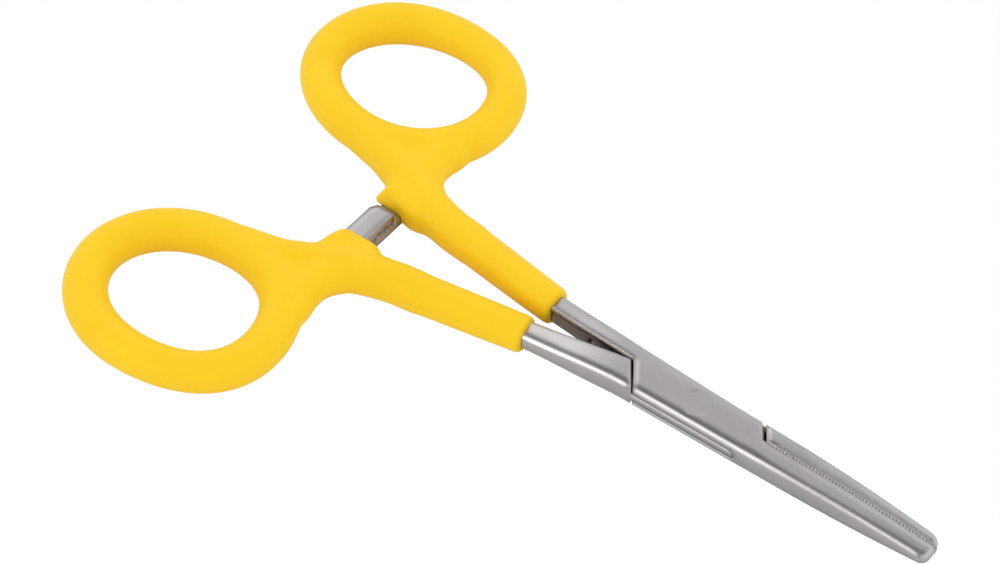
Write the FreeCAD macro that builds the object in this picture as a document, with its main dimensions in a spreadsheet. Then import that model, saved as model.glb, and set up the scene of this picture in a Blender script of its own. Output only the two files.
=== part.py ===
import FreeCAD, Part
import Sketcher
import math
import os

V = FreeCAD.Vector

# Ring-handled locking forceps, closed. The two arms cross in a box lock: one arm carries
# a slotted box, the other passes through the slot as a thin tenon. X points to the jaw
# tips, Y to the box arm's ring, Z up. The origin is where the pivot axis meets the flat
# under side of the box. Outlines are drawn about the mid plane, which lies half the
# box's thickness above that side. All lengths are millimetres, all angles degrees.

sizes = {
    # Box and jaws, seen from above
    "box_thickness": 4.4,
    "box_rear_half_width": 4.12,
    "box_rear_reach": 13.0,
    "box_front_reach": 9.0,
    "jaw_reach": 43.3,
    "box_jaw_root_half_width": 3.87,
    "box_jaw_tip_half_width": 3.08,
    "box_jaw_tip_round": 1.4,
    "tenon_jaw_root_half_width": 3.38,
    "tenon_jaw_tip_half_width": 1.9,
    "tenon_jaw_tip_round": 2.2,
    "rear_flank_round": 60.0,
    "front_flank_round": 150.0,
    "thinning_reach": 16.0,
    "jaw_tip_thickness": 1.9,
    "edge_round": 1.15,
    "tip_edge_round": 0.7,
    # Shoulders, slot and tenon
    "shoulder_reach": 12.5,
    "rear_shoulder_ahead": 0.5,
    "shoulder_slant": 35.6,
    "front_gap": 0.32,
    "rear_gap_outer": 0.08,
    "rear_gap_inner": 0.5,
    "crotch_offset": 0.85,
    "tenon_thickness": 1.5,
    "slot_clearance": 0.05,
    "slot_radius": 9.9,
    "slot_end_gap": 0.12,
    "relief_hole": 1.3,
    "relief_depth": 1.0,
    "relief_reach": 21.1,
    # Jaw teeth
    "serration_start": 14.2,
    "serration_short": 1.5,
    "serration_pitch": 0.6,
    "serration_depth": 0.4,
    "jaw_gap": 0.06,
    # Pivot pin
    "pin_diameter": 3.2,
    "pin_clearance": 0.04,
    # Steel shanks: the two arms are not quite mirror images
    "shank_width": 3.5,
    "shank_thickness": 3.4,
    "shank_length": 30.0,
    "box_shank_offset": 3.51,
    "box_shank_spread": 7.51,
    "tenon_shank_offset": 3.99,
    "tenon_shank_spread": 10.3,
    "shank_bevel": 0.2,
    "shoulder_bevel": 0.5,
    # Finger rings: an oval centre line, and the neck that leads a shank into it
    "box_ring_behind": 18.1,
    "box_ring_beside": 20.54,
    "tenon_ring_behind": 17.1,
    "tenon_ring_beside": 21.65,
    "ring_half_length": 16.4,
    "ring_half_width": 13.5,
    "ring_end_radius": 12.0,
    "ring_core_width": 3.8,
    "neck_ahead": 8.5,
    "neck_below": 15.8,
    "neck_end_behind": 6.4,
    "neck_end_below": 11.2,
    "neck_bend": 30.0,
    # Ratchet
    "ratchet_behind": 3.0,
    "ratchet_width": 4.0,
    "ratchet_thickness": 1.8,
    "upper_bar_reach": 2.0,
    "lower_bar_reach": 2.6,
    "ratchet_gap": 0.24,
    "ratchet_pitch": 1.9,
    "ratchet_tooth": 0.55,
    "ratchet_chamfer": 1.2,
    # Moulded grips
    "grip_front": 30.0,
    "grip_front_diameter": 6.0,
    "grip_rear_diameter": 6.98,
    "neck_diameter": 6.84,
    "ring_tube": 7.0,
    "lip_round": 0.7,
    "boss_length": 9.0,
    "boss_thickness": 5.2,
    "boss_round": 1.8,
    "boss_root": 4.5,
    "boss_ahead": 0.9,
    "box_boss_edge": 4.3,
    "tenon_boss_edge": 4.8,
    "web_bend": 5.0,
    "neck_start": 6.6,
    "web_start": 13.0,
    "web_ahead": 16.1,
    "web_below": 18.3,
    "web_end_ahead": 14.7,
    "web_end_below": 8.9,
    "fill_ahead": 4.6,
    "web_diameter": 6.2,
    "web_thickness": 5.8,
}

doc = FreeCAD.newDocument("forceps")
sheet = doc.addObject("Spreadsheet::Sheet", "Sizes")
for row, (name, number) in enumerate(sizes.items(), start=1):
    sheet.set("A%d" % row, name)
    sheet.set("B%d" % row, str(number))
    sheet.setAlias("B%d" % row, name)
doc.recompute()


def bind(thing, path, formula):
    thing.setExpression(path, formula)


def plane_of(body, role):
    return [item for item in body.Origin.OriginFeatures if item.Role == role][0]


def sketch_on(body, name, role, offset=FreeCAD.Placement()):
    sketch = body.newObject("Sketcher::SketchObject", name)
    sketch.AttachmentSupport = [(plane_of(body, role), "")]
    sketch.MapMode = "FlatFace"
    sketch.AttachmentOffset = offset
    return sketch


def rounded(points, closed=True):
    """Straight runs joined by tangent arcs: each point is (x, y, corner radius)."""
    count = len(points)
    spots = [V(x, y, 0) for x, y, radius in points]
    starts, ends, arcs = [], [], []
    for index in range(count):
        here = spots[index]
        before = spots[index - 1] - here
        after = spots[(index + 1) % count] - here
        radius = points[index][2]
        inner = not closed and index in (0, count - 1)
        if radius == 0 or inner:
            starts.append(here)
            ends.append(here)
            arcs.append(None)
            continue
        before.normalize()
        after.normalize()
        half = before.getAngle(after) / 2
        run = radius / math.tan(half)
        middle = before + after
        middle.normalize()
        apex = here + middle * (radius / math.sin(half) - radius)
        starts.append(here + before * run)
        ends.append(here + after * run)
        arcs.append(Part.Arc(starts[-1], apex, ends[-1]))
    edges = []
    for index in range(count):
        if arcs[index]:
            edges.append(arcs[index])
        following = (index + 1) % count
        last = not closed and index == count - 1
        if not last and (starts[following] - ends[index]).Length > 1e-7:
            edges.append(Part.LineSegment(ends[index], starts[following]))
    return edges


def plate(label, outline, formula):
    """A flat blank with the outline given, as thick as the formula, about the mid plane."""
    body = doc.addObject("PartDesign::Body", label)
    sketch = sketch_on(body, label + "_outline", "XY_Plane")
    sketch.addGeometry(outline)
    pad = body.newObject("PartDesign::Pad", label + "_pad")
    pad.Profile = sketch
    pad.SideType = "Symmetric"
    bind(pad, "Length", formula)
    return body


def combine(kind, label, first, others):
    doc.recompute()
    result = doc.addObject(kind, label)
    if kind == "Part::Cut":
        result.Base, result.Tool = first, others
    else:
        result.Shapes = [first] + others
    return result


def round_edges(label, base, wanted, radius):
    """Rounds every edge of the base that the wanted test accepts."""
    doc.recompute()
    result = doc.addObject("Part::Fillet", label)
    result.Base = base
    chosen = []
    for number, edge in enumerate(base.Shape.Edges, start=1):
        if wanted(edge):
            chosen.append((number, radius(edge.valueAt(edge.FirstParameter)),
                           radius(edge.valueAt(edge.LastParameter))))
    result.Edges = chosen
    return result


# The pair as it is ground and polished when closed: box, jaws and both bare shanks.

half_box = sizes["box_thickness"] / 2
across_both_shanks = 60.0
arms = {1: "box", -1: "tenon"}
shank_root = sizes["grip_front"] + sizes["shank_length"]
shank_end = shank_root - 4.0
ratchet_middle = shank_root + sizes["ratchet_behind"]
crotch = V(-sizes["box_rear_reach"] + 0.1, sizes["crotch_offset"], 0)


def own(side, name):
    """A size that each arm has for itself."""
    return sizes["%s_%s" % (arms[side], name)]


def slope(side):
    return math.tan(math.radians(own(side, "shank_spread")))


def shank_line(side, reach):
    """How far the middle of a shank lies from the X axis, so far behind the pivot."""
    return own(side, "shank_offset") + slope(side) * (reach - sizes["grip_front"])


def ring_middle(side, ahead=0.0, below=0.0):
    """A point given from the middle of a finger ring: towards the jaws, and towards the X axis."""
    reach = shank_root + own(side, "ring_behind")
    offset = shank_line(side, shank_root) + own(side, "ring_beside")
    return V(ahead - reach, side * (offset - below), 0)


def half_shank(side):
    return sizes["shank_width"] / 2 / math.cos(math.radians(own(side, "shank_spread")))


def flank(side):
    """The outer edge of one side: this arm's shank and cheek, then the other arm's jaw."""
    return [
        (-shank_end, side * (shank_line(side, shank_end) + half_shank(side)), 0),
        (-sizes["grip_front"] - 1, side * (shank_line(side, sizes["grip_front"] + 1) + half_shank(side)),
         sizes["rear_flank_round"]),
        (-sizes["box_rear_reach"], side * sizes["box_rear_half_width"], sizes["rear_flank_round"]),
        (sizes["box_front_reach"], side * own(-side, "jaw_root_half_width"), sizes["front_flank_round"]),
        (sizes["jaw_reach"], side * own(-side, "jaw_tip_half_width"), own(-side, "jaw_tip_round")),
    ]


def inside(side):
    """The inner edge of one shank, from the crotch to the end of the shank."""
    return [
        (-sizes["grip_front"] - 1, side * (shank_line(side, sizes["grip_front"] + 1) - half_shank(side)),
         sizes["rear_flank_round"]),
        (-shank_end, side * (shank_line(side, shank_end) - half_shank(side)), 0),
    ]


pair_outline = flank(-1) + flank(1)[::-1] + inside(1)[::-1] + [(crotch.x, crotch.y, 0)] + inside(-1)

pair_body = plate("closed_pair", rounded(pair_outline), "Sizes.box_thickness")


def ogee(x_from, z_from, x_to, z_to):
    """An S of two equal arcs that leaves and arrives level."""
    middle = V((x_from + x_to) / 2, (z_from + z_to) / 2, 0)
    edges = []
    for x_level, z_level in ((x_from, z_from), (x_to, z_to)):
        end = V(x_level, z_level, 0)
        rise = abs(middle.y - end.y)
        run = abs(middle.x - end.x)
        radius = (run ** 2 + rise ** 2) / (2 * rise)
        turn = math.asin(run / radius) / 2
        sign = 1 if middle.y > end.y else -1
        toward = 1 if middle.x > end.x else -1
        bow = V(x_level + toward * radius * math.sin(turn),
                z_level + sign * radius * (1 - math.cos(turn)), 0)
        edges.append(Part.Arc(end, bow, middle) if end.x == x_from else Part.Arc(middle, bow, end))
    return edges


def side_relief(face):
    """What is ground off above the shanks and jaws, seen from the side."""
    half_bar = sizes["shank_thickness"] / 2
    half_tip = sizes["jaw_tip_thickness"] / 2
    rear, front = -sizes["grip_front"], sizes["thinning_reach"]
    far_tip = sizes["jaw_reach"] + 2
    tip_run = sizes["jaw_reach"] - front
    radius = (tip_run ** 2 + (half_box - half_tip) ** 2) / (2 * (half_box - half_tip))
    turn = math.asin((far_tip - front) / radius)
    bow = V(front + radius * math.sin(turn / 2), face * (half_box - radius * (1 - math.cos(turn / 2))), 0)
    tip = V(far_tip, face * (half_box - radius * (1 - math.cos(turn))), 0)
    shank = ogee(rear, face * half_bar, -sizes["box_rear_reach"], face * half_box)
    clear = face * (half_box + 2)
    end = V(-shank_end - 2, face * half_bar, 0)
    return [Part.LineSegment(end, V(rear, face * half_bar, 0))] + shank + [
        Part.LineSegment(V(-sizes["box_rear_reach"], face * half_box, 0), V(front, face * half_box, 0)),
        Part.Arc(V(front, face * half_box, 0), bow, tip),
        Part.LineSegment(tip, V(far_tip, clear, 0)),
        Part.LineSegment(V(far_tip, clear, 0), V(end.x, clear, 0)),
        Part.LineSegment(V(end.x, clear, 0), end),
    ]


for face, word in ((1, "upper"), (-1, "lower")):
    relief_sketch = sketch_on(pair_body, word + "_relief_outline", "XZ_Plane")
    relief_sketch.addGeometry(side_relief(face))
    relief = pair_body.newObject("PartDesign::Pocket", word + "_relief")
    relief.Profile = relief_sketch
    relief.SideType = "Symmetric"
    relief.Length = across_both_shanks
doc.recompute()


def long_edge(edge):
    """Outer long edges of the pair: they lie off the mid plane and run along the flanks."""
    box = edge.BoundBox
    level = min(abs(box.ZMin), abs(box.ZMax))
    flat = box.ZLength < 1.2 and level > sizes["jaw_tip_thickness"] / 2 - 0.2
    middle = edge.valueAt((edge.FirstParameter + edge.LastParameter) / 2)
    side = 1 if middle.y > 0 else -1
    rise = shank_line(side, -middle.x) if middle.x < -sizes["box_rear_reach"] else 1.0
    outer = abs(middle.y) > max(rise, 1.0)
    ends = box.XMin < -shank_end + 0.01 and box.XLength < 0.01
    front = box.XMax > sizes["jaw_reach"] - 0.01 and box.XLength < 0.01
    return flat and not ends and (outer or front)


def edge_radius(point):
    share = (point.x - sizes["box_front_reach"]) / (sizes["jaw_reach"] - sizes["box_front_reach"])
    share = min(max(share, 0.0), 1.0)
    return sizes["edge_round"] + share * (sizes["tip_edge_round"] - sizes["edge_round"])


pair_form = round_edges("closed_pair_rounded", pair_body, long_edge, edge_radius)
doc.recompute()

# Where one arm ends and the other begins. The serrated line between the jaws, the slanted
# shoulders and the tenon are drawn once, with each arm's share of the clearance.

slant = math.tan(math.radians(sizes["shoulder_slant"]))
wide = sizes["box_rear_half_width"] + 6.0
beyond = sizes["jaw_reach"] + 4.0


def meeting_line(lift):
    """The line between the closed jaws, from the shoulder to beyond the tips."""
    points = [(sizes["serration_start"], lift, 0)]
    length = sizes["jaw_reach"] - sizes["serration_short"] - sizes["serration_start"]
    count = int(length / sizes["serration_pitch"])
    for tooth in range(count):
        left = sizes["serration_start"] + tooth * sizes["serration_pitch"]
        quarter = sizes["serration_pitch"] / 4
        points.append((left + quarter, lift + sizes["serration_depth"] / 2, 0))
        points.append((left + 3 * quarter, lift - sizes["serration_depth"] / 2, 0))
    points.append((sizes["serration_start"] + count * sizes["serration_pitch"], lift, 0))
    points.append((beyond, lift, 0))
    return points


def front_block(gap, lift):
    """The far jaw in plan, in front of its slanted shoulder."""
    reach = sizes["shoulder_reach"] + gap
    start = (reach - slant * lift, lift, 0)
    return [start] + meeting_line(lift) + [(beyond, wide, 0), (reach - slant * wide, wide, 0)]


def rear_block(outer_gap, inner_gap, lift):
    """The rear half of the tenon arm in plan, behind its slanted shoulder."""
    reach = sizes["rear_shoulder_ahead"] - sizes["box_rear_reach"]
    inner = (reach - slant * crotch.y - inner_gap, crotch.y + lift, 0)
    outer = (reach + slant * wide - outer_gap, -wide, 0)
    back = -shank_end - 4
    return [inner, (back, crotch.y + lift, 0), (back, -wide - 20, 0), (outer[0], -wide - 20, 0), outer]


def tenon_plan(grow):
    """The thin middle layer: a disc about the pivot, joined to the front and rear blocks."""
    radius = sizes["slot_radius"] - sizes["slot_end_gap"] + grow
    fore = sizes["shoulder_reach"] + 1.5
    back = sizes["box_rear_reach"] + 1.0
    front = [(0, -grow, 0), (fore, -grow, 0), (fore, wide, 0), (0, wide, 0)]
    rear = [(0, grow, 0), (0, -wide, 0), (-back, -wide, 0), (-back, crotch.y + grow, 0),
            (crotch.x, crotch.y + grow, 0)]
    return radius, front, rear


def tenon_region(label, grow, gap_share, thickness):
    """Everything that belongs to the tenon arm, grown by the clearances given."""
    lift = 0.5 * sizes["jaw_gap"] * (1 - 2 * gap_share)
    gap = 0.5 * sizes["front_gap"] * (1 - 2 * gap_share)
    outer = 0.5 * sizes["rear_gap_outer"] * (1 - 2 * gap_share)
    inner = 0.5 * sizes["rear_gap_inner"] * (1 - 2 * gap_share)
    height = "Sizes.box_thickness + 2"
    radius, front, rear = tenon_plan(grow)
    parts = [
        plate(label + "_rear", rounded(rear_block(outer, inner, -lift)), height),
        plate(label + "_tenon_front", rounded(front), thickness),
        plate(label + "_tenon_rear", rounded(rear), thickness),
    ]
    disc = doc.addObject("Part::Cylinder", label + "_disc")
    bind(disc, "Height", thickness)
    bind(disc, "Placement.Base.z", "-(%s) / 2" % thickness)
    disc.Radius = radius
    first = plate(label + "_front", rounded(front_block(gap, lift)), height)
    return combine("Part::MultiFuse", label, first, parts + [disc])


tenon_share = tenon_region("tenon_arm_share", 0.0, 0, "Sizes.tenon_thickness")
slot_share = tenon_region("box_arm_opening", sizes["slot_end_gap"], 1,
                          "Sizes.tenon_thickness + 2 * Sizes.slot_clearance")
tenon_blank = combine("Part::MultiCommon", "tenon_blank", pair_form, [tenon_share])
box_blank = combine("Part::Cut", "box_blank", pair_form, slot_share)


def bevel_edges(label, base, wanted, width):
    """Breaks every edge of the base that the wanted test accepts."""
    doc.recompute()
    result = doc.addObject("Part::Chamfer", label)
    result.Base = base
    result.Edges = [(number, width, width)
                    for number, edge in enumerate(base.Shape.Edges, start=1) if wanted(edge)]
    return result


def inner_edge_of(side):
    """Accepts the upper and lower edges along the inner face of one bare shank."""
    def wanted(edge):
        box = edge.BoundBox
        middle = edge.valueAt((edge.FirstParameter + edge.LastParameter) / 2)
        level = min(abs(box.ZMin), abs(box.ZMax)) > sizes["shank_thickness"] / 2 - 0.01
        inner = side * middle.y < shank_line(side, -middle.x) - 0.5
        shank = box.XMax < crotch.x + 0.6 and box.XLength > 1.0
        return shank and inner and level and box.XMin > -shank_end - 0.01
    return wanted


def front_shoulder(edge):
    """Accepts the edges of the box's cheeks along the front shoulder."""
    box = edge.BoundBox
    level = min(abs(box.ZMin), abs(box.ZMax)) > sizes["tenon_thickness"] / 2 + 0.4
    middle = edge.valueAt((edge.FirstParameter + edge.LastParameter) / 2)
    place = abs(middle.x - (sizes["shoulder_reach"] - slant * middle.y)) < sizes["front_gap"]
    return level and place and box.YLength > 1.0 and box.YMin > -0.2


tenon_forging = bevel_edges("tenon_forging", tenon_blank, inner_edge_of(-1), sizes["shank_bevel"])
box_bevelled = bevel_edges("box_bevelled", box_blank, inner_edge_of(1), sizes["shank_bevel"])
box_forging = bevel_edges("box_forging", box_bevelled, front_shoulder, sizes["shoulder_bevel"])


# Handles: each shank runs into an oval finger ring.

def oval(side, grow=0.0):
    """The ring's centre line, grown or shrunk: four arcs, the tighter ones at front and back."""
    long_half, short_half = sizes["ring_half_length"], sizes["ring_half_width"]
    small = sizes["ring_end_radius"]
    large = ((long_half - small) ** 2 + short_half ** 2 - small ** 2) / (2 * (short_half - small))
    middle = ring_middle(side)
    turn = math.atan2(large - short_half, long_half - small)
    flat = V(0, 0, 1)
    right = Part.Circle(middle + V(long_half - small, 0, 0), flat, small + grow)
    left = Part.Circle(middle - V(long_half - small, 0, 0), flat, small + grow)
    top = Part.Circle(middle - V(0, large - short_half, 0), flat, large + grow)
    bottom = Part.Circle(middle + V(0, large - short_half, 0), flat, large + grow)
    return [
        Part.ArcOfCircle(right, 0, turn),
        Part.ArcOfCircle(top, turn, math.pi - turn),
        Part.ArcOfCircle(left, math.pi - turn, math.pi + turn),
        Part.ArcOfCircle(bottom, math.pi + turn, 2 * math.pi - turn),
        Part.ArcOfCircle(right, 2 * math.pi - turn, 2 * math.pi),
    ]


def neck_line(side, start):
    """The centre line that carries a shank round into its ring."""
    bend = ring_middle(side, sizes["neck_ahead"], sizes["neck_below"])
    end = ring_middle(side, -sizes["neck_end_behind"], sizes["neck_end_below"])
    return [
        (-start, side * shank_line(side, start), 0),
        (-shank_root, side * shank_line(side, shank_root), sizes["neck_bend"]),
        (bend.x, bend.y, sizes["neck_bend"]),
        (end.x, end.y, 0),
    ]


def web_line(side, start):
    """The centre line of the moulded web's edge, from the shank into the front of the ring."""
    corner = ring_middle(side, sizes["web_ahead"], sizes["web_below"])
    end = ring_middle(side, sizes["web_end_ahead"], sizes["web_end_below"])
    return [
        (-start, side * shank_line(side, start), 0),
        (corner.x, corner.y, sizes["web_bend"]),
        (end.x, end.y, 0),
    ]


def sweep(label, path, role, offset, section_edges, bindings):
    """A section carried along a path in the mid plane, at right angles to its start."""
    body = doc.addObject("PartDesign::Body", label)
    spine = sketch_on(body, label + "_path", "XY_Plane")
    spine.addGeometry(path)
    section = sketch_on(body, label + "_section", role, offset)
    section.addGeometry(section_edges)
    for kind, first, value, name, formula in bindings:
        number = section.addConstraint(Sketcher.Constraint(kind, *first, value))
        section.renameConstraint(number, name)
        bind(section, "Constraints." + name, formula)
    doc.recompute()
    pipe = body.newObject("PartDesign::AdditivePipe", label + "_sweep")
    pipe.Profile = section
    pipe.Spine = spine
    doc.recompute()
    return body


def round_section(centre, formula):
    circle = Part.Circle(centre, V(0, 0, 1), 2.0)
    return [circle], [("Diameter", (0,), 4.0, "across", formula)]


def path_start(side, start):
    """The plane across the start of a neck or web, as an offset from the YZ plane."""
    turn = FreeCAD.Rotation(V(0, 1, 0), -side * own(side, "shank_spread"))
    return FreeCAD.Placement(V(side * shank_line(side, start), 0, -start), turn)


def ring_tube(label, side, formula):
    middle = ring_middle(side)
    offset = FreeCAD.Placement(V(0, 0, -middle.y), FreeCAD.Rotation())
    centre = V(middle.x + sizes["ring_half_length"], 0, 0)
    return sweep(label, oval(side), "XZ_Plane", offset, *round_section(centre, formula))


def neck_tube(label, side, path, start, formula):
    route = rounded(path(side, start), closed=False)
    return sweep(label, route, "YZ_Plane", path_start(side, start), *round_section(V(0, 0, 0), formula))


def flat_neck(label, side, start):
    """The steel inside a neck: a flat bar bent round into the ring."""
    half_width, half_height = sizes["shank_width"] / 2, sizes["shank_thickness"] / 2
    corners = [V(-half_width, -half_height, 0), V(half_width, -half_height, 0),
               V(half_width, half_height, 0), V(-half_width, half_height, 0)]
    edges = [Part.LineSegment(corners[n], corners[(n + 1) % 4]) for n in range(4)]
    route = rounded(neck_line(side, start), closed=False)
    return sweep(label, route, "YZ_Plane", path_start(side, start), edges, [])


def flat_ring(label, side):
    """The steel inside a ring: an oval eye as thick as the shank."""
    half = sizes["ring_core_width"] / 2
    return plate(label, oval(side, half) + oval(side, -half), "Sizes.shank_thickness")


# Ratchet: a toothed bar across the gap from each shank. The tenon arm's bar lies on top.

def ratchet_bar(label, side, reach):
    """One bar, drawn from the side with its teeth, reaching past the middle by its reach."""
    face = -side
    gap = sizes["ratchet_gap"] / 2
    thick = sizes["ratchet_thickness"] + gap
    root = side * (shank_line(side, ratchet_middle) + 0.6)
    tip = -side * reach
    points = [(root, face * thick, 0), (root, face * gap, 0)]
    shared = sizes["upper_bar_reach"] + sizes["lower_bar_reach"]
    teeth = int(shared / sizes["ratchet_pitch"])
    heel = tip + side * (shared - 0.2)
    for tooth in range(teeth):
        crest = heel - side * tooth * sizes["ratchet_pitch"]
        points.append((crest, face * gap, 0))
        points.append((crest, face * (gap + sizes["ratchet_tooth"]), 0))
    last = heel - side * teeth * sizes["ratchet_pitch"]
    points += [(last, face * gap, 0), (tip, face * gap, 0), (tip, face * thick, 0)]
    body = doc.addObject("PartDesign::Body", label)
    offset = FreeCAD.Placement(V(0, 0, -ratchet_middle), FreeCAD.Rotation())
    sketch = sketch_on(body, label + "_side", "YZ_Plane", offset)
    sketch.addGeometry(rounded(points))
    pad = body.newObject("PartDesign::Pad", label + "_pad")
    pad.Profile = sketch
    pad.SideType = "Symmetric"
    bind(pad, "Length", "Sizes.ratchet_width")
    doc.recompute()
    corner = doc.addObject("Part::Chamfer", label + "_cornered")
    corner.Base = body
    back = -ratchet_middle - sizes["ratchet_width"] / 2
    corner.Edges = [(number, sizes["ratchet_chamfer"] * 0.6, sizes["ratchet_chamfer"])
                    for number, edge in enumerate(body.Shape.Edges, start=1)
                    if edge.BoundBox.XLength < 1e-4 and edge.BoundBox.YLength < 1e-4
                    and abs(edge.BoundBox.XMin - back) < 1e-4 and abs(edge.BoundBox.YMin - tip) < 1e-4]
    doc.recompute()
    return corner


# Pivot pin, riveted flush with both faces of the box.

def cylinder(label, diameter, height):
    item = doc.addObject("Part::Cylinder", label)
    bind(item, "Radius", "(%s) / 2" % diameter)
    bind(item, "Height", height)
    bind(item, "Placement.Base.z", "-(%s) / 2" % height)
    return item


pivot_pin = cylinder("pivot_pin", "Sizes.pin_diameter", "Sizes.box_thickness")
box_bore = cylinder("box_bore", "Sizes.pin_diameter", "Sizes.box_thickness + 2")
tenon_bore = cylinder("tenon_bore", "Sizes.pin_diameter + 2 * Sizes.pin_clearance", "Sizes.box_thickness + 2")

relief_hole = doc.addObject("Part::Cylinder", "relief_hole")
bind(relief_hole, "Radius", "Sizes.relief_hole / 2")
bind(relief_hole, "Height", "Sizes.relief_depth + 2")
inner_rise = (shank_line(1, sizes["grip_front"]) - half_shank(1) - crotch.y) / (sizes["grip_front"] + crotch.x)
inner_edge = crotch.y + inner_rise * (sizes["relief_reach"] + crotch.x)
relief_hole.Placement = FreeCAD.Placement(V(-sizes["relief_reach"], inner_edge - 2, 0),
                                          FreeCAD.Rotation(V(1, 0, 0), -90))

def steel_arm(label, forging, side, bore, bar_reach):
    parts = [
        flat_ring(label + "_ring", side),
        flat_neck(label + "_neck", side, shank_end - 6),
        ratchet_bar(label + "_ratchet", side, bar_reach),
    ]
    whole = combine("Part::MultiFuse", label + "_whole", forging, parts)
    return combine("Part::Cut", label, whole, bore)


box_bores = combine("Part::MultiFuse", "box_bores", box_bore, [relief_hole])
box_arm = steel_arm("box_arm", box_forging, 1, box_bores, sizes["lower_bar_reach"])
tenon_arm = steel_arm("tenon_arm", tenon_forging, -1, tenon_bore, sizes["upper_bar_reach"])


# Grips: soft plastic moulded over each shank and ring.

def coat_cone(label, side):
    """The straight stretch of the coating, a little thinner towards the box."""
    cone = doc.addObject("Part::Cone", label)
    bind(cone, "Radius1", "Sizes.grip_front_diameter / 2")
    bind(cone, "Radius2", "Sizes.grip_rear_diameter / 2")
    cone.Height = (sizes["shank_length"] - 4.0) / math.cos(math.radians(own(side, "shank_spread")))
    heading = V(-1, side * slope(side), 0)
    cone.Placement = FreeCAD.Placement(V(-sizes["grip_front"], side * own(side, "shank_offset"), 0),
                                       FreeCAD.Rotation(V(0, 0, 1), heading))
    return round_edges(label + "_lipped", cone,
                       lambda edge: edge.BoundBox.XMax > -sizes["grip_front"] - 1 and edge.Closed,
                       lambda point: sizes["lip_round"])


def web_fill(label, side):
    """What the coating fills between neck, web and ring."""
    marks = [
        ring_middle(side, sizes["web_ahead"], sizes["web_below"]),
        ring_middle(side, sizes["web_end_ahead"], sizes["web_end_below"]),
        ring_middle(side, sizes["fill_ahead"], sizes["ring_half_width"]),
        ring_middle(side, sizes["neck_ahead"], sizes["neck_below"]),
    ]
    points = [(-shank_root, side * shank_line(side, shank_root), 0)]
    points += [(mark.x, mark.y, 0) for mark in marks]
    return plate(label, rounded(points), "Sizes.web_thickness")


def boss(label, side):
    """The thickened block of the coating that the ratchet bar comes out of."""
    half = sizes["boss_length"] / 2
    middle = sizes["boss_ahead"] - ratchet_middle
    edge = own(side, "boss_edge")
    root = shank_line(side, ratchet_middle) + sizes["boss_root"]
    points = [
        (middle - half + 1.2, side * edge, 2.0),
        (middle + half - 1.2, side * edge, 2.0),
        (middle + half + 1.0, side * root, 2.0),
        (middle - half - 1.0, side * root, 2.0),
    ]
    body = plate(label, rounded(points), "Sizes.boss_thickness")
    return round_edges(label + "_rounded", body, lambda edge: edge.BoundBox.ZLength < 1e-4,
                       lambda point: sizes["boss_round"])


def grip(label, side, arm):
    web_start = shank_root - sizes["web_start"]
    parts = [
        neck_tube(label + "_neck", side, neck_line, shank_root - sizes["neck_start"], "Sizes.neck_diameter"),
        neck_tube(label + "_web", side, web_line, web_start, "Sizes.web_diameter"),
        web_fill(label + "_fill", side),
        coat_cone(label + "_shank", side),
        boss(label + "_boss", side),
    ]
    whole = combine("Part::MultiFuse", label + "_whole", ring_tube(label + "_ring", side, "Sizes.ring_tube"), parts)
    return combine("Part::Cut", label, whole, arm)


box_arm_grip = grip("box_arm_grip", 1, box_arm)
tenon_arm_grip = grip("tenon_arm_grip", -1, tenon_arm)
doc.recompute()

# The finished pieces, lifted so that the under side of the box lies at zero height.

pieces = [box_arm, tenon_arm, pivot_pin, box_arm_grip, tenon_arm_grip]
os.makedirs("parts", exist_ok=True)
for item in doc.Objects:
    if "Invalid" in item.State or "Error" in item.State:
        raise RuntimeError("%s failed: %s" % (item.Label, item.State))
for piece in pieces:
    shape = piece.Shape
    if shape.isNull() or not shape.isValid() or len(shape.Solids) != 1:
        raise RuntimeError("%s is not one sound solid: %d" % (piece.Label, len(shape.Solids)))
    lifted = doc.addObject("Part::Feature", piece.Label + "_placed")
    lifted.Shape = shape
    lifted.Placement = FreeCAD.Placement(V(0, 0, half_box), FreeCAD.Rotation()).multiply(piece.Placement)
    lifted.Shape.exportStep("parts/%s.step" % piece.Label)
    print("%-16s %8.2f mm3" % (piece.Label, shape.Volume))
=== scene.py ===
import math

import bmesh
import bpy
import numpy as np
from mathutils import Matrix, Vector


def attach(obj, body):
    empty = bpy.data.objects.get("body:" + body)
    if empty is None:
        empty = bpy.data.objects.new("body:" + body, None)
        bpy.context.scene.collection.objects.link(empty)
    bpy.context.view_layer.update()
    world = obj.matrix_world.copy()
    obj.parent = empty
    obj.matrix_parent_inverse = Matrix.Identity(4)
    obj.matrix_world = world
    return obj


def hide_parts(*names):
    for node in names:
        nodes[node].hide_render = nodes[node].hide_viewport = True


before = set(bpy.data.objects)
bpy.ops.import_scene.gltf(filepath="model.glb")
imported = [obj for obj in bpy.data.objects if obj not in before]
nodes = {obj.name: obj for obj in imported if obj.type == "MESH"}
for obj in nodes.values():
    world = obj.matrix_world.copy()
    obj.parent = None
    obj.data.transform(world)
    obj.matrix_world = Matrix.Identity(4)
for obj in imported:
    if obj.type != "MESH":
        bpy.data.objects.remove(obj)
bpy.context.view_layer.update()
MM = 0.001


# Camera, held level and looking down over the finger rings towards the jaws.
# It stands well back with a long lens, so the forceps show hardly any perspective.

camera_distance = 568.78 * MM
camera_down = math.radians(48.398)
camera_turn = math.radians(36.863)
camera_roll = math.radians(0.963)
camera_target = Vector((-39.907, 2.3, 2.2)) * MM
camera_lens = 129.95

level = Vector((1, 0, 0))
rise = Vector((0, math.sin(camera_down), math.cos(camera_down)))
ahead = Vector((0, math.cos(camera_down), -math.sin(camera_down)))
to_right = level * math.cos(camera_roll) + rise * math.sin(camera_roll)
to_top = rise * math.cos(camera_roll) - level * math.sin(camera_roll)
swing = Matrix.Rotation(camera_turn, 3, "Z")
to_right, to_top, ahead = swing @ to_right, swing @ to_top, swing @ ahead

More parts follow.
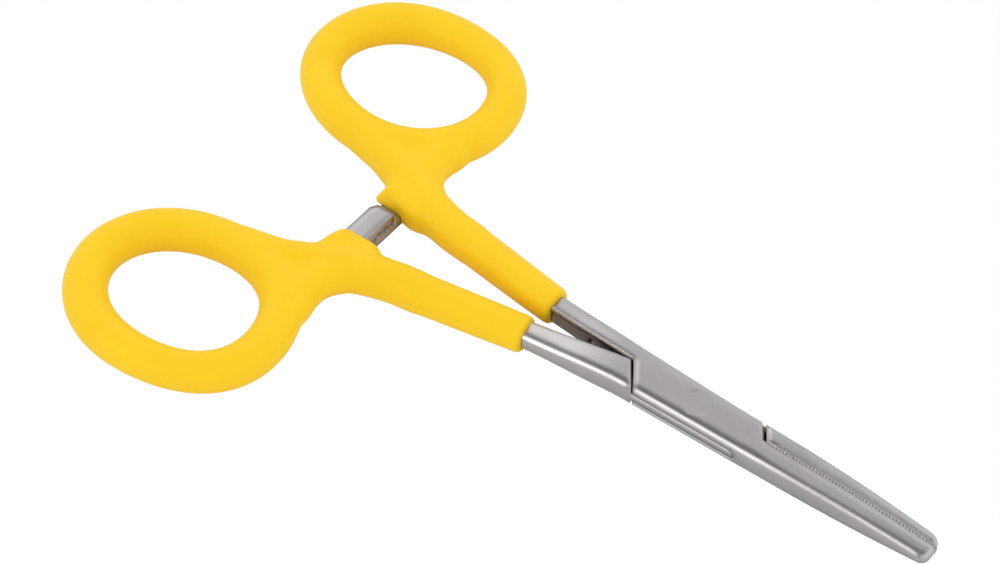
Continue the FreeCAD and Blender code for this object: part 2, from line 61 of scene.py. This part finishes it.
camera_data = bpy.data.cameras.new("photo_camera")
camera_data.lens = camera_lens
camera_data.clip_start = 0.05
camera = bpy.data.objects.new("photo_camera", camera_data)
bpy.context.scene.collection.objects.link(camera)
camera_axes = Matrix((to_right, to_top, -ahead)).transposed().to_4x4()
camera.matrix_world = Matrix.Translation(camera_target - ahead * camera_distance) @ camera_axes
bpy.context.scene.camera = camera
bpy.context.scene.view_settings.view_transform = "Standard"


# Arms of satin stainless steel. Each is one forging with its shank, box part, ratchet bar and jaw,
# ground flat and then satin finished along its length.

grain_stretch = (400, 9000, 9000)
grain_roughness = (0.2, 0.28)
grain_bump = 0.25
grain_depth = 0.003 * MM
cloud_stretch = (120, 260, 260)
arm_edge_look = 1.6 * MM
flat_near_pivot = 3.0 * MM
edges_from = 3.8 * MM
shading_samples = 8
counts_as_top = 0.5


def screen(red, green, blue):
    """A colour as shaders take it, from its 0 to 255 screen values."""
    def channel(value):
        share = value / 255
        return share / 12.92 if share <= 0.04045 else ((share + 0.055) / 1.055) ** 2.4
    return channel(red), channel(green), channel(blue), 1


def add_node(tree, kind, **inputs):
    """A node of that kind, with its inputs set by their names, blanks as underscores."""
    node = tree.nodes.new(kind)
    for name, value in inputs.items():
        node.inputs[name.replace("_", " ")].default_value = value
    return node


def noise_over(tree, stretch, detail):
    """Noise in the piece's own coordinates, drawn out or squeezed along each axis."""
    place = tree.nodes.new("ShaderNodeTexCoord")
    mapping = add_node(tree, "ShaderNodeMapping", Scale=stretch)
    noise = add_node(tree, "ShaderNodeTexNoise", Scale=1.0, Detail=detail, Roughness=0.6)
    tree.links.new(place.outputs["Object"], mapping.inputs["Vector"])
    tree.links.new(mapping.outputs["Vector"], noise.inputs["Vector"])
    return noise.outputs["Fac"]


def spread(tree, source, low, high, start=0.3, end=0.7):
    """A number that runs from low to high while the source runs from start to end."""
    node = add_node(tree, "ShaderNodeMapRange", From_Min=start, From_Max=end, To_Min=low, To_Max=high)
    tree.links.new(source, node.inputs["Value"])
    return node.outputs["Result"]


def blend_colours(tree, share, first, second):
    """A colour that runs from the first to the second by the share."""
    node = tree.nodes.new("ShaderNodeMix")
    node.data_type = "RGBA"
    node.inputs["A"].default_value = first
    node.inputs["B"].default_value = second
    tree.links.new(share, node.inputs["Factor"])
    return node.outputs["Result"]


def worked(tree, operation, first, second=0):
    """A sum, product or the like of two values, where each is a number or a node's output."""
    node = tree.nodes.new("ShaderNodeMath")
    node.operation = operation
    for socket, value in zip(node.inputs, (first, second)):
        if isinstance(value, (int, float)):
            socket.default_value = value
        else:
            tree.links.new(value, socket)
    return node.outputs["Value"]


def own_axis(tree, axis, kind="Object"):
    """The X, Y or Z of the piece's own coordinates, or of its own normals."""
    place = tree.nodes.new("ShaderNodeTexCoord")
    split = tree.nodes.new("ShaderNodeSeparateXYZ")
    tree.links.new(place.outputs[kind], split.inputs["Vector"])
    return split.outputs[axis]


def edge_normals(tree, edge_look):
    """Normals as if the edges were rounded that far, and the plain ones near the pivot."""
    plain = tree.nodes.new("ShaderNodeNewGeometry")
    softened = add_node(tree, "ShaderNodeBevel", Radius=edge_look)
    softened.samples = shading_samples
    from_pivot = worked(tree, "ADD", worked(tree, "ABSOLUTE", own_axis(tree, "X")),
                        worked(tree, "ABSOLUTE", own_axis(tree, "Y")))
    mix = tree.nodes.new("ShaderNodeMix")
    mix.data_type = "VECTOR"
    # The node has several sockets named A, B and Result, so the vector ones go by number.
    vector_a, vector_b, vector_result = 4, 5, 1
    tree.links.new(spread(tree, from_pivot, 0, 1, flat_near_pivot, edges_from), mix.inputs["Factor"])
    tree.links.new(plain.outputs["Normal"], mix.inputs[vector_a])
    tree.links.new(softened.outputs["Normal"], mix.inputs[vector_b])
    return mix.outputs[vector_result]


def satin_steel(name, light, dark, edge_look):
    """Satin stainless steel with a fine grain along its length."""
    material = bpy.data.materials.new(name)
    material.use_nodes = True
    tree = material.node_tree
    shader = tree.nodes["Principled BSDF"]
    shader.inputs["Metallic"].default_value = 1
    grain = noise_over(tree, grain_stretch, 3)
    cloud = noise_over(tree, cloud_stretch, 2)
    tone = blend_colours(tree, spread(tree, cloud, 0, 1), light, dark)
    tree.links.new(tone, shader.inputs["Base Color"])
    tree.links.new(spread(tree, grain, *grain_roughness), shader.inputs["Roughness"])
    bump = add_node(tree, "ShaderNodeBump", Strength=grain_bump, Distance=grain_depth)
    tree.links.new(grain, bump.inputs["Height"])
    tree.links.new(edge_normals(tree, edge_look), bump.inputs["Normal"])
    tree.links.new(bump.outputs["Normal"], shader.inputs["Normal"])
    return material


def laid_over(material, share, colour):
    """The material's own colour, changed towards that colour by the share."""
    tree = material.node_tree
    socket = tree.nodes["Principled BSDF"].inputs["Base Color"]
    mix = tree.nodes.new("ShaderNodeMix")
    mix.data_type = "RGBA"
    tree.links.new(socket.links[0].from_socket, mix.inputs["A"])
    mix.inputs["B"].default_value = colour
    tree.links.new(share, mix.inputs["Factor"])
    tree.links.new(mix.outputs["Result"], socket)


def made_of(node_name, material):
    """Gives a solid from the frame that one material."""
    materials = nodes[node_name].data.materials
    materials.clear()
    materials.append(material)


arm_steel = satin_steel("arm_steel", screen(180, 176, 177), screen(172, 169, 170), arm_edge_look)
steel_tree = arm_steel.node_tree


def steel_worked(operation, first, second=0):
    return worked(steel_tree, operation, first, second)


def steel_spread(source, low, high, start, end):
    return spread(steel_tree, source, low, high, start, end)


along = own_axis(steel_tree, "X")
across = own_axis(steel_tree, "Y")
on_top = steel_worked("GREATER_THAN", own_axis(steel_tree, "Z", "Normal"), counts_as_top)

# The tops of the shanks are painted brighter towards the coatings, more so on the tenon arm: a painted
# highlight. The ratchet bars, further back than that, stay as they are.

shank_highlight_full = -29 * MM
shank_highlight_none = -14 * MM
tenon_highlight, box_highlight = 0.85, 0.1
arm_border = 1 * MM
ratchet_from = -45 * MM
shank_highlight = steel_worked("MULTIPLY", steel_spread(along, 1, 0, shank_highlight_full, shank_highlight_none),
                            steel_spread(across, tenon_highlight, box_highlight, -arm_border, arm_border))
shank_highlight = steel_worked("MULTIPLY", shank_highlight, steel_worked("GREATER_THAN", along, ratchet_from))
laid_over(arm_steel, steel_worked("MULTIPLY", shank_highlight, on_top), screen(212, 209, 207))

# The tops of the jaws are painted brighter towards their tips, also a painted highlight.

tip_highlight_start = 17 * MM
tip_highlight_end = 32 * MM
tip_highlight_share = 0.5
tip_highlight = steel_spread(along, 0, tip_highlight_share, tip_highlight_start, tip_highlight_end)
laid_over(arm_steel, steel_worked("MULTIPLY", tip_highlight, on_top), screen(206, 203, 202))

# The faces that the shanks turn to each other carry painted shade, toned brown.

inner_shade_full = -12 * MM
inner_shade_none = -8 * MM
inner_shade_share = 0.75
counts_as_inward = -0.6
facing_in = steel_worked("MULTIPLY", own_axis(steel_tree, "Y", "Normal"), steel_worked("SIGN", across))
inner_shade = steel_worked("MULTIPLY", steel_worked("LESS_THAN", facing_in, counts_as_inward),
                     steel_spread(along, inner_shade_share, 0, inner_shade_full, inner_shade_none))
laid_over(arm_steel, inner_shade, screen(128, 112, 98))

# Painted shade darkens the gaps and corners.

crevice_reach = 0.5 * MM
crevice_share = 0.95
crevice_closed, crevice_open = 0.25, 0.7
crevice = add_node(steel_tree, "ShaderNodeAmbientOcclusion", Distance=crevice_reach)
crevice.samples = shading_samples
gap_shade = steel_spread(crevice.outputs["AO"], crevice_share, 0, crevice_closed, crevice_open)
laid_over(arm_steel, gap_shade, screen(60, 56, 56))

# Each tooth of the jaws gets painted shade on one flank and a painted highlight on the other, laid over the
# real teeth.

tooth_pitch = 0.6 * MM
teeth_start = 14.2 * MM
teeth_end = 41.8 * MM
teeth_reach = 0.23 * MM
off_centre = steel_worked("ABSOLUTE", across)
near_line = steel_spread(off_centre, 1, 0, 0.5 * teeth_reach, teeth_reach)
within = steel_worked("MULTIPLY", steel_worked("GREATER_THAN", along, teeth_start),
                      steel_worked("LESS_THAN", along, teeth_end))
toothed = steel_worked("MULTIPLY", near_line, within)
phase = steel_worked("FRACT", steel_worked("DIVIDE", along, tooth_pitch))
flank_shade = steel_worked("MULTIPLY", toothed, steel_spread(phase, 1, 0, 0.35, 0.5))
flank_highlight = steel_worked("MULTIPLY", toothed, steel_spread(phase, 0, 1, 0.5, 0.65))
laid_over(arm_steel, flank_shade, screen(144, 140, 140))
laid_over(arm_steel, flank_highlight, screen(214, 210, 208))

made_of("box_arm", arm_steel)
made_of("tenon_arm", arm_steel)


# Pivot pin, a plain steel rivet peened and ground flush with both faces of the box.
# Its ends were finished with the box, so they show only as a faint ring.

pin_edge_look = 0.02 * MM
pin_steel = satin_steel("pin_steel", screen(179, 175, 176), screen(172, 169, 170), pin_edge_look)
made_of("pivot_pin", pin_steel)


# Handle coatings of yellow vinyl, one on each arm, moulded over the steel. The vinyl swells round
# the ratchet bar's root and fills the corner between shank and finger ring.

vinyl_grain = 0.3 * MM
vinyl_blend = 1.7 * MM
vinyl_regain = 0.06 * MM
vinyl_middle = 2.2 * MM
first_smoothing, blend_smoothing, last_smoothing = 4, 2, 12
ring_knots = 24
ring_bulge_power = 6
ring_tube_power = 4
ring_thinned = 0.06
ring_thinned_turn = math.radians(65)
ring_thickened = 0.04
ring_thickened_turn = math.radians(135)
sleeve_front_radius = 3.05 * MM
sleeve_rear_radius = 3.33 * MM
sleeve_slant_run = 6 * MM
neck_radius = 3.36 * MM
neck_end_thinning = (0.15 * MM, 0.8 * MM)
web_radius = 3.15 * MM
web_half_height = 2.7 * MM
web_edge_round = 0.5 * MM
block_half_height = 2.6 * MM
block_edge_round = 1.5 * MM
lip_half_height = 0.8 * MM
lip_edge_round = 0.3 * MM

# Places along the shank where its parts start and bend, and two of the web's filling from the
# middle of the ring, all in millimetres.

sleeve_places = (-30, -43, -56)
neck_places = (-48, -54)
web_places = (-44, -51)
fill_place = -57
fill_by_ring = ((4, -12), (11, -17))


def mesh_of(holder):
    """The object's finished mesh, its curve or modifiers worked out. The object goes."""
    bpy.context.view_layer.update()
    finished = holder.evaluated_get(bpy.context.evaluated_depsgraph_get())
    mesh = bpy.data.meshes.new_from_object(finished)
    bpy.data.objects.remove(holder)
    return mesh


def object_with(name, data):
    """A new object in the scene with that mesh, curve or lamp."""
    holder = bpy.data.objects.new(name, data)
    bpy.context.scene.collection.objects.link(holder)
    return holder


def round_tube(name, points, radii, closed=False):
    """A round tube along a smooth line through the points."""
    curve = bpy.data.curves.new(name, "CURVE")
    curve.dimensions = "3D"
    curve.bevel_depth = 1
    curve.bevel_resolution = 10
    curve.resolution_u = 16
    curve.use_fill_caps = not closed
    line = curve.splines.new("BEZIER")
    line.bezier_points.add(len(points) - 1)
    line.use_cyclic_u = closed
    for knot, (x, y), radius in zip(line.bezier_points, points, radii):
        knot.co = (x, y, vinyl_middle)
        knot.handle_left_type = knot.handle_right_type = "AUTO"
        knot.radius = radius
    return mesh_of(object_with(name, curve))


def flat_slab(name, outline, half_height, edge_round):
    """A slab with that outline round the coating's middle plane, its edges rounded."""
    shape = bmesh.new()
    under = [shape.verts.new((x, y, vinyl_middle - half_height)) for x, y in outline]
    floor_face = shape.faces.new(under)
    lifted = bmesh.ops.extrude_face_region(shape, geom=[floor_face])["geom"]
    raised = [part for part in lifted if isinstance(part, bmesh.types.BMVert)]
    bmesh.ops.translate(shape, verts=raised, vec=(0, 0, 2 * half_height))
    bmesh.ops.recalc_face_normals(shape, faces=shape.faces[:])
    bmesh.ops.bevel(shape, geom=shape.edges[:], offset=edge_round, segments=5, profile=0.5, affect="EDGES")
    mesh = bpy.data.meshes.new(name)
    shape.to_mesh(mesh)
    shape.free()
    return mesh


def one_skin(name, mesh, smoothing):
    """The mesh as one closed skin of even small faces, smoothed that many times."""
    holder = object_with(name, mesh)
    remesh = holder.modifiers.new("skin", "REMESH")
    remesh.mode = "VOXEL"
    remesh.voxel_size = vinyl_grain
    smooth = holder.modifiers.new("smooth", "SMOOTH")
    smooth.factor = 0.5
    smooth.iterations = smoothing
    return mesh_of(holder)


def swell(mesh, distance):
    """Moves the skin out along its normals, or in where the distance is negative."""
    count = len(mesh.vertices)
    spots = np.empty(count * 3, np.float32)
    ways = np.empty(count * 3, np.float32)
    mesh.vertices.foreach_get("co", spots)
    mesh.vertex_normals.foreach_get("vector", ways)
    mesh.vertices.foreach_set("co", spots + ways * distance)
    mesh.update()


def moulded(name, pieces):
    """The pieces as one moulding, with every inner corner between them filled to a soft radius.

    The skin swells by that radius and shrinks again, which leaves the corners filled. The last,
    small swelling gives back what the smoothing takes off.
    """
    shape = bmesh.new()
    for piece in pieces:
        shape.from_mesh(piece)
    mesh = bpy.data.meshes.new(name)
    shape.to_mesh(mesh)
    shape.free()
    mesh = one_skin(name, mesh, first_smoothing)
    swell(mesh, vinyl_blend)
    mesh = one_skin(name, mesh, blend_smoothing)
    swell(mesh, -vinyl_blend)
    mesh = one_skin(name, mesh, last_smoothing)
    swell(mesh, vinyl_regain)
    return mesh


vinyl_cloud_stretch = (90, 90, 90)
vinyl_skin_stretch = (2200, 2200, 2200)
vinyl_roughness = (0.42, 0.52)
vinyl_bump_strength = 0.35
vinyl_bump_depth = 0.01 * MM
vinyl_specular = 0.2

vinyl = bpy.data.materials.new("yellow_vinyl")
vinyl.use_nodes = True
vinyl_tree = vinyl.node_tree
vinyl_shader = vinyl_tree.nodes["Principled BSDF"]
vinyl_cloud = noise_over(vinyl_tree, vinyl_cloud_stretch, 3)
vinyl_skin = noise_over(vinyl_tree, vinyl_skin_stretch, 3)
vinyl_tone = blend_colours(vinyl_tree, spread(vinyl_tree, vinyl_cloud, 0, 1),
                           screen(255, 211, 30), screen(253, 206, 25))
vinyl_tree.links.new(vinyl_tone, vinyl_shader.inputs["Base Color"])
vinyl_tree.links.new(spread(vinyl_tree, vinyl_skin, *vinyl_roughness), vinyl_shader.inputs["Roughness"])
vinyl_bump = add_node(vinyl_tree, "ShaderNodeBump", Strength=vinyl_bump_strength,
                      Distance=vinyl_bump_depth)
vinyl_tree.links.new(vinyl_skin, vinyl_bump.inputs["Height"])
vinyl_tree.links.new(vinyl_bump.outputs["Normal"], vinyl_shader.inputs["Normal"])
vinyl_shader.inputs["Specular IOR Level"].default_value = vinyl_specular


def slanted(sleeve, shank_y, side, inner_lead):
    """Moves the sleeve's front edge ahead on the side that faces the other arm."""
    front = sleeve_places[0] * MM
    for corner in sleeve.vertices:
        inward = side * (shank_y(corner.co.x / MM) - corner.co.y) / sleeve_front_radius
        fade = min(max((corner.co.x - front) / sleeve_slant_run + 1, 0), 1)
        corner.co.x += inner_lead * MM * fade * (1 + inward) / 2


def coated_handle(name, side, shank, ring_place, ring_bulges, neck_bends, web_bends, block_corners,
                  inner_lead, lip_corners=None):
    """One coating: sleeve, neck, finger ring, web and ratchet block, moulded together.

    Lengths come in millimetres. The shank is given by its offset at the sleeve's front and its
    slope, the ring by its middle, half sizes and tube radius, the bends of neck and web by their
    place from the middle of the ring. Each bulge of the ring is a turn and a share of its size.
    The sleeve's front edge leads by inner_lead on its inner side. The lip, where there is one, is
    the thin edge of the block at the parting line, over the ratchet bar.
    """
    offset, slope = shank
    ring_x, ring_y, half_length, half_width, tube = ring_place

    def at(x, y):
        return Vector((x * MM, side * y * MM))

    def on_shank(x):
        return at(x, offset + slope * (sleeve_places[0] - x))

    def by_ring(x, y):
        return at(ring_x + x, ring_y + y)

    ring = []
    ring_radii = []
    for step in range(ring_knots):
        turn = 2 * math.pi * step / ring_knots
        reach = 1
        for bulge_turn, share in ring_bulges:
            reach += share * max(math.cos(turn - math.radians(bulge_turn)), 0) ** ring_bulge_power
        ring.append(by_ring(half_length * reach * math.cos(turn), half_width * reach * math.sin(turn)))
        thinned = ring_thinned * max(math.cos(turn - ring_thinned_turn), 0) ** ring_tube_power
        thickened = ring_thickened * max(math.cos(turn - ring_thickened_turn), 0) ** ring_tube_power
        ring_radii.append(tube * MM * (1 - thinned + thickened))

    sleeve_radii = [sleeve_front_radius, (sleeve_front_radius + sleeve_rear_radius) / 2, sleeve_rear_radius]
    sleeve = round_tube(name + "_sleeve", [on_shank(x) for x in sleeve_places], sleeve_radii)
    slanted(sleeve, lambda x: on_shank(x).y, side, inner_lead)

    neck = [on_shank(x) for x in neck_places] + [by_ring(x, y) for x, y in neck_bends]
    neck_radii = [neck_radius] * (len(neck) - 2) + [neck_radius - less for less in neck_end_thinning]
    web = [on_shank(x) for x in web_places] + [by_ring(x, y) for x, y in web_bends]
    fill = [on_shank(fill_place)] + [by_ring(x, y) for x, y in (*web_bends[1:], *fill_by_ring)]
    block = [at(x, y) for x, y in block_corners]
    pieces = [
        round_tube(name + "_ring", ring, ring_radii, closed=True),
        sleeve,
        round_tube(name + "_neck", neck, neck_radii),
        round_tube(name + "_web", web, [web_radius] * len(web)),
        flat_slab(name + "_fill", fill, web_half_height, web_edge_round),
        flat_slab(name + "_block", block, block_half_height, block_edge_round),
    ]
    if lip_corners:
        lip = [at(x, y) for x, y in lip_corners]
        pieces.append(flat_slab(name + "_lip", lip, lip_half_height, lip_edge_round))
    mesh = moulded(name, pieces)
    mesh.materials.append(vinyl)
    mesh.shade_smooth()
    return object_with(name, mesh)


box_handle = coated_handle(
    "box_handle_coating", 1,
    shank=(3.51, 0.1318),
    ring_place=(-78.1, 27.8, 16.05, 13.5, 3.4),
    ring_bulges=[(50, 0.058), (245, -0.018), (300, 0.015)],
    neck_bends=[(11.5, -16.7), (7.0, -15.0), (3.3, -14.2), (0, -13.6), (-3.5, -12.8)],
    web_bends=[(21.2, -20.2), (18.7, -19.0), (16.4, -17.2), (14.6, -14.2), (14.3, -10.8),
               (14.8, -8.1), (14.5, -5.6)],
    block_corners=[(-66.3, 5.0), (-58.8, 3.2), (-54.8, 4.5), (-56, 8.5), (-65.7, 9.0)],
    inner_lead=0.9,
    lip_corners=[(-66.8, 4.0), (-60, 3.7), (-58, 6.5), (-65.8, 9.2)])
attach(box_handle, "box_side")
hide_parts("box_arm_grip")

tenon_handle = coated_handle(
    "tenon_handle_coating", -1,
    shank=(3.99, 0.182),
    ring_place=(-77.1, 31.1, 16.25, 13.25, 3.47),
    ring_bulges=[(38, 0.058), (120, 0.018), (303, 0.045)],
    neck_bends=[(11.3, -17.9), (7.0, -15.7), (3.3, -14.7), (-0.1, -14.1), (-3.5, -13.4)],
    web_bends=[(23.2, -22.6), (19.4, -22.0), (16.3, -19.1), (14.3, -15.7), (14.2, -11.9),
               (14.8, -8.7), (14.6, -6.0)],
    block_corners=[(-65.8, 4.8), (-58.2, 4.6), (-56.2, 9.3), (-67.2, 10.3)],
    inner_lead=0.3)
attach(tenon_handle, "tenon_side")
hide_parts("tenon_arm_grip")


# Floor and light: a white table under a soft tent with one faint, wide lamp overhead.
# The table is a plane just under the lowest points of the coatings and of the steel.

table_height = -1.29 * MM
table_touch = -56 * MM
table_slope = 0.0163
table_half_width = 2

table_mesh = bpy.data.meshes.new("table")
table_shape = bmesh.new()
bmesh.ops.create_grid(table_shape, x_segments=1, y_segments=1, size=table_half_width)
table_shape.to_mesh(table_mesh)
table_shape.free()
table = object_with("table", table_mesh)
table.location = (table_touch, 0, table_height)
table.rotation_euler = (0, -math.atan(table_slope), 0)


def shader_mix(tree, share, first, second):
    """A shader that runs from the first to the second by the share."""
    mix = tree.nodes.new("ShaderNodeMixShader")
    for socket, source in zip(mix.inputs, (share, first, second)):
        tree.links.new(source, socket)
    return mix.outputs["Shader"]


white = bpy.data.materials.new("white_table")
white.use_nodes = True
white_tree = white.node_tree
white_shader = white_tree.nodes["Principled BSDF"]
white_shader.inputs["Base Color"].default_value = (0.95, 0.95, 0.95, 1)
white_shader.inputs["Roughness"].default_value = 0.9
white_glow = add_node(white_tree, "ShaderNodeEmission", Color=(1, 1, 1, 1), Strength=1)
white_path = white_tree.nodes.new("ShaderNodeLightPath")
white_surface = shader_mix(white_tree, white_path.outputs["Is Camera Ray"],
                           white_shader.outputs["BSDF"], white_glow.outputs["Emission"])
white_tree.links.new(white_surface, white_tree.nodes["Material Output"].inputs["Surface"])
table_mesh.materials.append(white)

# The tent is white all round to matte surfaces and to the camera. What the steel mirrors is
# shaped: a white wall behind, a dimmer roof, a dark front, a softly bordered bright panel low on
# the left, which draws the bright line along the edges, and a bright window half way up behind.

tent_strength = 0.97
back_glow = 1.0
roof_glow = 0.29
front_glow = 0.22
panel_glow = 2.8
window_glow = 0.9
roof_way = Vector((0, 0, 1))
front_way = Vector((-0.40, -0.92, 0))
panel_way = Vector((-0.398, -0.79, 0.44))
window_way = Vector((-0.64, 0.50, 0.58))

tent = bpy.data.worlds.new("tent")
tent.use_nodes = True
tent_tree = tent.node_tree
tent_tree.nodes.clear()
tent_place = tent_tree.nodes.new("ShaderNodeTexCoord")


def glow_towards(way, low, high, start, end):
    """A glow that runs from low to high as the direction turns towards the way."""
    facing = tent_tree.nodes.new("ShaderNodeVectorMath")
    facing.operation = "DOT_PRODUCT"
    facing.inputs[1].default_value = way.normalized()
    tent_tree.links.new(tent_place.outputs["Generated"], facing.inputs[0])
    smooth = spread(tent_tree, facing.outputs["Value"], low, high, start, end)
    smooth.node.interpolation_type = "SMOOTHSTEP"
    return smooth


def white_light(**strength):
    return add_node(tent_tree, "ShaderNodeBackground", Color=(1, 1, 1, 1), **strength)


roof = glow_towards(roof_way, back_glow, roof_glow, 0.765, 0.87)
front = glow_towards(front_way, 1, front_glow / back_glow, 0.35, 0.75)
panel = glow_towards(panel_way, 0, panel_glow, 0.88, 0.985)
window = glow_towards(window_way, 0, window_glow, 0.955, 0.995)
mirrored = worked(tent_tree, "MULTIPLY", roof, front)
mirrored = worked(tent_tree, "ADD", mirrored, panel)
mirrored = worked(tent_tree, "ADD", mirrored, window)

tent_path = tent_tree.nodes.new("ShaderNodeLightPath")
tent_soft = white_light(Strength=tent_strength)
tent_gloss = white_light()
tent_white = white_light(Strength=1)
tent_tree.links.new(mirrored, tent_gloss.inputs["Strength"])
tent_light = shader_mix(tent_tree, tent_path.outputs["Is Glossy Ray"],
                        tent_soft.outputs["Background"], tent_gloss.outputs["Background"])
tent_seen = shader_mix(tent_tree, tent_path.outputs["Is Camera Ray"],
                       tent_light, tent_white.outputs["Background"])
tent_out = tent_tree.nodes.new("ShaderNodeOutputWorld")
tent_tree.links.new(tent_seen, tent_out.inputs["Surface"])
bpy.context.scene.world = tent

# The lamp is square to the camera's heading and isn't mirrored in the steel.

lamp_width = 0.9
lamp_watts = 0.25
lamp_place = Vector((-0.02, 0, 0.8))

lamp_data = bpy.data.lights.new("overhead_lamp", "AREA")
lamp_data.shape = "RECTANGLE"
lamp_data.size = lamp_data.size_y = lamp_width
lamp_data.energy = lamp_watts
lamp = object_with("overhead_lamp", lamp_data)
lamp.matrix_world = Matrix.Translation(lamp_place) @ swing.to_4x4()
lamp.visible_glossy = False
